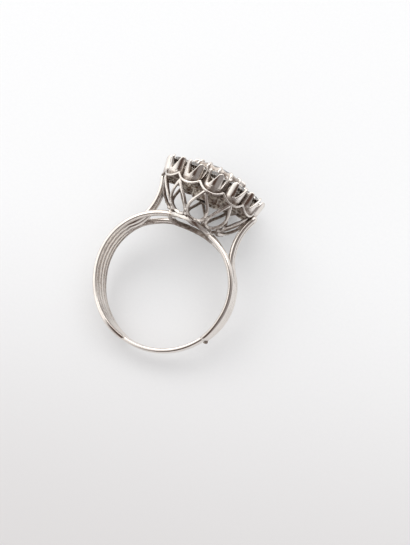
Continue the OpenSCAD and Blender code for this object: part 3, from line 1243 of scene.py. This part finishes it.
@dataclass
class CentreSetting:
    """The flared cup, the collar, the claws and the frame that carry the centre stone."""

    finish: bpy.types.Material
    girdle_height: float = 15.45
    stone_r: float = 3.5
    frame_height: float = 12.75
    spokes: int = 6
    claws: int = 14
    claw_r: float = 0.21
    # The cup's wall in section: distance from the head's axis, and height
    cup: Rows = (
        (2.0, 11.86), (2.12, 12.1), (2.45, 13.0), (2.8, 13.95), (3.1, 14.76), (3.16, 14.92), (3.08, 14.96),
        (2.82, 14.73), (2.76, 14.62), (2.45, 13.8), (2.1, 12.9), (1.78, 12.1), (1.68, 11.88), (1.82, 11.80))
    # The collar's wall in section: distance, height, and share of the edge's rise between the claws
    collar: Rows = (
        (3.06, 14.72, 0.0), (3.50, 14.95, 0.0), (3.73, 15.3, 0.0), (3.74, 15.7, 0.3), (3.68, 16.15, 0.9),
        (3.61, 16.2, 1.0), (3.54, 16.12, 0.9), (3.52, 15.7, 0.3), (3.53, 15.3, 0.0), (3.36, 15.02, 0.0),
        (3.04, 14.84, 0.0))
    collar_top: float = 16.20

    def build(self) -> list[bpy.types.Object]:
        """Builds the frame, the cup, the collar and the claws.

        Returns:
            The pieces.
        """
        return [self._frame(), self._cup(), self._collar(), self._claws()]

    def _frame(self) -> bpy.types.Object:
        """Builds the ring wire inside the collets, its spokes to the cup and its ties to the collets.

        Returns:
            The piece.
        """
        up = (0, 1, 0)
        shape = Shape()
        ring = round_head(np.linspace(0, 360, 72, endpoint=False), 4.3, self.frame_height)
        shape.sweep(ring, up, round_section(0.25, 12), Ends.JOINED)
        arch = self.frame_height + 0.08 * np.sin(np.linspace(0, math.pi, 8))
        for k in range(self.spokes):
            place = 30 + 360.0 / self.spokes * k
            shape.sweep(round_head(place, np.linspace(2.2, 4.35, 8), arch), up, round_section(0.22, 12))
            shape.lump(round_head(place, 4.25, 12.78), (0.34, 0.28, 0.34), 60 + k, 0.08)
        for place in COLLET_PLACES:
            tie = round_head(place, np.linspace(4.25, 4.75, 5), np.linspace(12.72, 12.85, 5))
            shape.sweep(tie, up, round_section(0.2, 10))
        # Painted shade all over the frame, which lies deep inside the head under the stones
        return metal_piece("setting_frame", fused("setting_frame", shape, 0.07, 2), self.finish, evenly(1.0))

    def _cup(self) -> bpy.types.Object:
        """Builds the flared cup, with a rolled lip under the stone.

        Returns:
            The piece.
        """
        outline = np.array(self.cup)
        turn = np.linspace(0, 360, 72, endpoint=False)
        shape = Shape()
        shape.grid(round_head(turn[:, None], outline[None, :, 0], outline[None, :, 1]), joined=True)
        # Painted shade under the centre stone, all over the cup and heaviest low down
        return metal_piece("centre_cup", shape, self.finish, darkened_below(15.4, 0.8))

    def _collar(self) -> bpy.types.Object:
        """Builds the upright collar that stands round the stone, its edge dipped between the claws.

        Returns:
            The piece.
        """
        outline = np.array(self.collar)
        turn = np.linspace(0, 360, 12 * self.claws, endpoint=False)
        top = self.collar_top + 0.14 * np.abs(np.cos(np.radians(turn - 180 / self.claws) * self.claws / 2))
        height = outline[None, :, 1] + outline[None, :, 2] * (top[:, None] - self.collar_top)
        shape = Shape()
        shape.grid(round_head(turn[:, None], outline[None, :, 0], height), joined=True)
        # Darker below its top edge, and mottled
        return metal_piece("centre_collar", shape, self.finish, darkened_below(16.34, 0.35, 0.95))

    def _claws(self) -> bpy.types.Object:
        """Builds the claws, drawn over the stone's edge to rounded tips.

        Returns:
            The piece.
        """
        edge = self.stone_r + 0.30
        line = smooth_through(
            ((2.35, 13.25), (3.1, 13.95), (edge, 14.6), (edge + 0.01, 15.3), (edge - 0.03, 15.85),
             (3.58, 16.24), (3.3, 16.36)), 30)
        size = np.interp(np.arange(30), (0, 18, 24, 29), (1.05, 0.98, 1.0, 1.16))
        section = round_section(self.claw_r, 14)
        shape = Shape()
        for k in range(self.claws):
            path = round_head((k + 0.5) * 360 / self.claws, line[:, 0], line[:, 1])
            shape.sweep(path, path * (1, 0, 1) + (0, 2, 0), section, Ends.ROUND, size)
        # Painted shade on the claws below the stone's girdle, deepest low down
        return metal_piece("centre_claws", shape, self.finish, darkened_below(15.1, 1.0, 0.9))


@dataclass
class Brilliant:
    """A round brilliant-cut stone with its full set of flat facets; its sizes are shares of its diameter."""

    finish: bpy.types.Material
    table: float = 0.57
    crown: float = 0.15
    girdle: float = 0.03
    pavilion: float = 0.41
    star: float = 0.3753
    lower: float = 0.12
    # How deep the lower facets' feet lie, as a share of the pavilion
    lower_depth: float = 0.79
    # How much of the soap film and painted shade lies on the crown
    crown_film_and_shade: float = 0.2

    def build(
        self, name: str, node: str, slot: str, diameter: float, put: Callable[[np.ndarray], np.ndarray],
        film_and_shade: float = 0.0,
    ) -> bpy.types.Object:
        """Cuts the stone and puts it in its place.

        Args:
            name: the piece's name.
            node: the CAD node it replaces.
            slot: the record's material slot; not used.
            diameter: its diameter in millimetres.
            put: moves points from the stone's own axis to the upright ring.
            film_and_shade: how much old soap, dirt and painted shade lies behind the stone.

        Returns:
            The piece.
        """
        own, faces = self._facets()
        piece = new_piece(name, LAY.points(put(own * diameter)), faces, smooth=False)
        # Old soap film and painted shade on the pavilion, which sits in the shaded cup, and a little on the
        # crown
        mark_dirt_and_shade(piece, lambda points, normals: np.where(own[:, 2] < 0, film_and_shade, self.crown_film_and_shade * film_and_shade))
        return dressed(piece, self.finish, node)

    def _facets(self) -> tuple[np.ndarray, list[tuple[int, ...]]]:
        """Works out the facets of a stone of diameter one, its girdle at height zero.

        Returns:
            Points, and faces.
        """
        g = self.girdle / 2
        table_r = self.table / 2
        slope = self.star * math.cos(math.pi / 8) - table_r
        star_h = g + self.crown - self.crown * slope / (0.5 - table_r)
        eight = np.arange(8) * math.pi / 4
        sixteen = np.arange(16) * math.pi / 8

        def ring(r: float, angles: np.ndarray, h: float) -> np.ndarray:
            """Returns points on a level circle."""
            return np.stack((r * np.cos(angles), r * np.sin(angles), np.full(len(angles), h)), axis=1)

        points = np.vstack((
            ring(table_r, eight, g + self.crown),
            ring(self.star, eight + math.pi / 8, star_h),
            ring(0.5, sixteen, g),
            ring(0.5, sixteen, -g),
            ring(self.lower, eight + math.pi / 8, -g - self.pavilion * self.lower_depth),
            [(0, 0, -g - self.pavilion)]))
        star, up, low, foot, tip = 8, 16, 32, 48, 56
        faces: list[tuple[int, ...]] = [tuple(range(8))]
        for i in range(8):
            j, here, half, after = (i + 1) % 8, 2 * i, 2 * i + 1, (2 * i + 2) % 16
            faces += [
                (i, star + i, j), (star + i, i, up + here), (star + i, up + after, j),
                (star + i, up + here, up + half), (star + i, up + half, up + after),
                (foot + i, low + half, low + here), (foot + i, low + after, low + half),
                (foot + i, low + here, foot + (i - 1) % 8, tip)]
        faces += [(up + k, low + k, low + (k + 1) % 16, up + (k + 1) % 16) for k in range(16)]
        return points, faces


@dataclass
class Head:
    """The cluster: twelve collets with their small stones round the centre stone."""

    metal: bpy.types.Material
    white: bpy.types.Material
    blue: bpy.types.Material
    small_d: float = 2.4
    # Old soap film and painted shade behind the small stones
    small_film_and_shade: float = 0.55
    centre_d: float = 7.0
    # How far the collets that the photograph shows are turned about their own axes
    twists: dict[int, float] = field(default_factory=lambda: {0: -22.0, 1: 6.0, 2: -14.0, 10: 24.0, 11: 10.0})

    def build(self) -> list[bpy.types.Object]:
        """Builds the collets, the small stones, the centre setting and the centre stone.

        Returns:
            The pieces.
        """
        pieces = []
        for k, place in enumerate(COLLET_PLACES):
            pieces += self._small(k, place)
        setting = CentreSetting(self.metal)
        pieces += setting.build()
        pieces.append(Brilliant(self.blue).build(
            "centre_stone_cut", "centre_stone", "centre_stone", self.centre_d,
            lambda own: np.stack((own[:, 0], own[:, 2] + setting.girdle_height, -own[:, 1]), axis=1)))
        return pieces

    def _small(self, k: int, place: float) -> list[bpy.types.Object]:
        """Builds one collet and the small stone in it.

        Args:
            k: the collet's number, from zero.
            place: its angle round the head.

        Returns:
            The two pieces.
        """
        usual = float(np.random.default_rng(k).normal(0, 5))
        collet = Collet(self.metal, k + 1, place, self.twists.get(k, usual))
        level = collet.seat + 0.015 * self.small_d
        pieces = [collet.build()]
        pieces.append(Brilliant(self.white).build(
            f"small_brilliant_{k + 1:02d}", f"stone_{k + 1:02d}", "small_stone", self.small_d,
            lambda own: collet.put(own + (0, 0, level), 20.0 * k), self.small_film_and_shade))
        return pieces


@dataclass
class Studio:
    """The pale floor, the soft lights and the camera."""

    # The camera's place, and the picture's right and up, in the upright ring's directions
    eye: tuple[float, float, float] = (33.21, -0.53, 112.56)
    right: tuple[float, float, float] = (0.8643, 0.4594, -0.2047)
    up: tuple[float, float, float] = (-0.4374, 0.8875, 0.145)
    focal_px: float = 892.2
    long_side_px: float = 545.0
    sensor_mm: float = 24.0
    # The paper: half its side in metres, its two mixed tones, its darker tone in front, which is painted
    # shade where the light falls off, and a faint painted glow that lifts its shadows
    paper_side: float = 1.6
    paper_tones: tuple[Colour, ...] = ((0.67, 0.67, 0.675), (0.71, 0.71, 0.71))
    paper_front_shade: Colour = (0.495, 0.475, 0.47)
    paper_glow: Colour = (0.97, 0.985, 1.0)
    glow_strength: float = 0.20
    # The dim shape over the paper, as the metal mirrors it: its middle and its half sizes in the room
    dim: Colour = (0.085, 0.050, 0.038)
    dim_x: float = 0.24
    dim_y: float = -0.40
    dim_width: float = 0.31
    dim_length: float = 0.85
    # The room as the metal mirrors it, from dark to lit, and its soft light from the sides and from above
    dark_walls: Colour = (0.32, 0.30, 0.295)
    lit_walls: Colour = (1.34, 1.32, 1.29)
    low_light: Colour = (0.40, 0.40, 0.40)
    high_light: Colour = (1.13, 1.13, 1.14)
    backdrop: Colour = (0.95, 0.95, 0.95)

    def build(self) -> None:
        """Builds the stage."""
        self._floor()
        self._camera()
        self._lights()
        self._surroundings()

    def _floor(self) -> None:
        """Makes the pale paper that the ring lies on, a little darker in front with painted shade where the
        light falls off, and with a faint painted glow that lifts its shadows.
        """
        side = self.paper_side
        corners = ((-side, -side, 0), (side, -side, 0), (side, side, 0), (-side, side, 0))
        floor = new_piece("paper_floor", np.array(corners, float), ((0, 1, 2, 3),), closed=False)
        made, sheet, shader = new_material("pale_paper")
        shader.inputs["Roughness"].default_value = 0.75
        # A faint painted glow, though the paper is no lamp, lifts its shadows
        shader.inputs["Emission Color"].default_value = opaque(self.paper_glow)
        shader.inputs["Emission Strength"].default_value = self.glow_strength
        place = sheet.node("ShaderNodeTexCoord").outputs["Object"]
        tooth = sheet.noise(place, 2600.0, 4.0)
        tone = sheet.mix(tooth, *map(opaque, self.paper_tones))
        # Painted shade: the paper darkens towards the front, where the light falls off
        at = sheet.node("ShaderNodeSeparateXYZ", {"Vector": place}).outputs
        nearer = sheet.maths("SUBTRACT", sheet.maths("MULTIPLY", at["X"], 0.30), at["Y"])
        tone = sheet.mix(sheet.ramp(nearer, -0.012, 0.050), tone, opaque(self.paper_front_shade))
        bump = sheet.node("ShaderNodeBump", {"Height": tooth, "Strength": 0.15, "Distance": 0.00002})
        sheet.link(tone, shader.inputs["Base Color"])
        sheet.link(bump.outputs["Normal"], shader.inputs["Normal"])
        floor.data.materials.append(made)

    def _camera(self) -> None:
        """Puts the camera where the photograph was taken from."""
        camera = bpy.data.cameras.new("camera")
        camera.sensor_width = self.sensor_mm
        camera.lens = self.focal_px * self.sensor_mm / self.long_side_px
        camera.clip_start, camera.clip_end = 0.005, 10.0
        right, up = LAY.direction(self.right).normalized(), LAY.direction(self.up)
        back = right.cross(up).normalized()
        facing = Matrix((right, back.cross(right), back)).transposed().to_4x4()
        holder = bpy.data.objects.new("camera", camera)
        holder.matrix_world = Matrix.Translation(Vector(LAY.points(np.array(self.eye)))) @ facing
        bpy.context.scene.collection.objects.link(holder)
        bpy.context.scene.camera = holder

    def _lights(self) -> None:
        """Hangs two soft boxes, one high on the left and one high beyond the head."""
        # Name, place and size in metres, power in watts, and tint
        for name, place, size, power, tint in (
            ("window_left", (-0.17, 0.12, 0.20), (0.20, 0.14), 0.12, (1.0, 0.99, 0.97)),
            ("top_sheet", (0.03, 0.19, 0.22), (0.22, 0.10), 0.09, (1.0, 1.0, 1.0)),
        ):
            lamp = bpy.data.lights.new(name, "AREA")
            lamp.shape, lamp.size, lamp.size_y = "RECTANGLE", *size
            lamp.energy, lamp.color = power, tint
            holder = bpy.data.objects.new(name, lamp)
            aim = Vector((0, 0.002, 0.005)) - Vector(place)
            facing = aim.to_track_quat("-Z", "Y").to_matrix().to_4x4()
            holder.matrix_world = Matrix.Translation(place) @ facing
            bpy.context.scene.collection.objects.link(holder)

    def _surroundings(self) -> None:
        """Makes the pale room that the metal mirrors, with the dim shape of whoever stands over the paper."""
        world = bpy.data.worlds.new("room")
        world.use_nodes = True
        sheet = Sheet(world.node_tree)
        view = sheet.node("ShaderNodeTexCoord").outputs["Generated"]
        way = sheet.node("ShaderNodeSeparateXYZ", {"Vector": view}).outputs
        squares = []
        for axis, middle, half in (("X", self.dim_x, self.dim_width), ("Y", self.dim_y, self.dim_length)):
            off = sheet.maths("DIVIDE", sheet.maths("SUBTRACT", way[axis], middle), half)
            squares.append(sheet.maths("POWER", off, 2.0))
        lit = sheet.ramp(sheet.maths("SQRT", sheet.maths("ADD", *squares)), 0.6, 1.3)
        left = sheet.maths(
            "SUBTRACT", sheet.maths("MULTIPLY", way["Y"], 0.55), sheet.maths("MULTIPLY", way["X"], 0.8))
        stir = sheet.maths("SUBTRACT", sheet.noise(view, 5.0, 3.0), 0.5)
        left = sheet.maths("MULTIPLY_ADD", stir, 0.7, left)
        walls = sheet.mix(sheet.ramp(left, -0.45, 0.30), opaque(self.dark_walls), opaque(self.lit_walls))
        paths = sheet.node("ShaderNodeLightPath").outputs
        overhead = sheet.mix(way["Z"], opaque(self.low_light), opaque(self.high_light))
        room = sheet.mix(paths["Is Diffuse Ray"], sheet.mix(lit, opaque(self.dim), walls), overhead)
        seen = sheet.mix(paths["Is Camera Ray"], room, opaque(self.backdrop))
        sheet.link(seen, sheet.tree.nodes["Background"].inputs["Color"])
        bpy.context.scene.world = world
        bpy.context.scene.view_settings.view_transform = "Standard"


def main() -> None:
    """Builds the ring piece by piece, then the stage."""
    logging.basicConfig(level=logging.INFO, format="%(name)s %(message)s")
    effects = Effects()
    polished = MetalFinish("white_gold_polished").material(effects)
    worked = MetalFinish(
        "white_gold_worked", reach=0.0012, patches=0.2, polish=0.16, dullness=0.32).material(effects)
    white = StoneFinish(
        "white_stone", light=(1.0, 0.99, 0.975), dark=(0.965, 0.945, 0.92), bend=2.2, clear=1.0,
        zone_scale=900.0, shine=0.4).material(effects)
    blue = StoneFinish(
        "midnight_stone", light=(0.012, 0.022, 0.09), dark=(0.003, 0.006, 0.03), bend=1.77, clear=0.6,
        zone_scale=350.0, shine=0.22).material(effects)
    pieces = Shank(polished).build()
    pieces += Shoulders(polished).build()
    pieces += Basket(worked).build()
    pieces += Head(worked, white, blue).build()
    LOG.info("%d pieces", len(pieces))
    Studio().build()


if __name__ == "__main__":
    main()
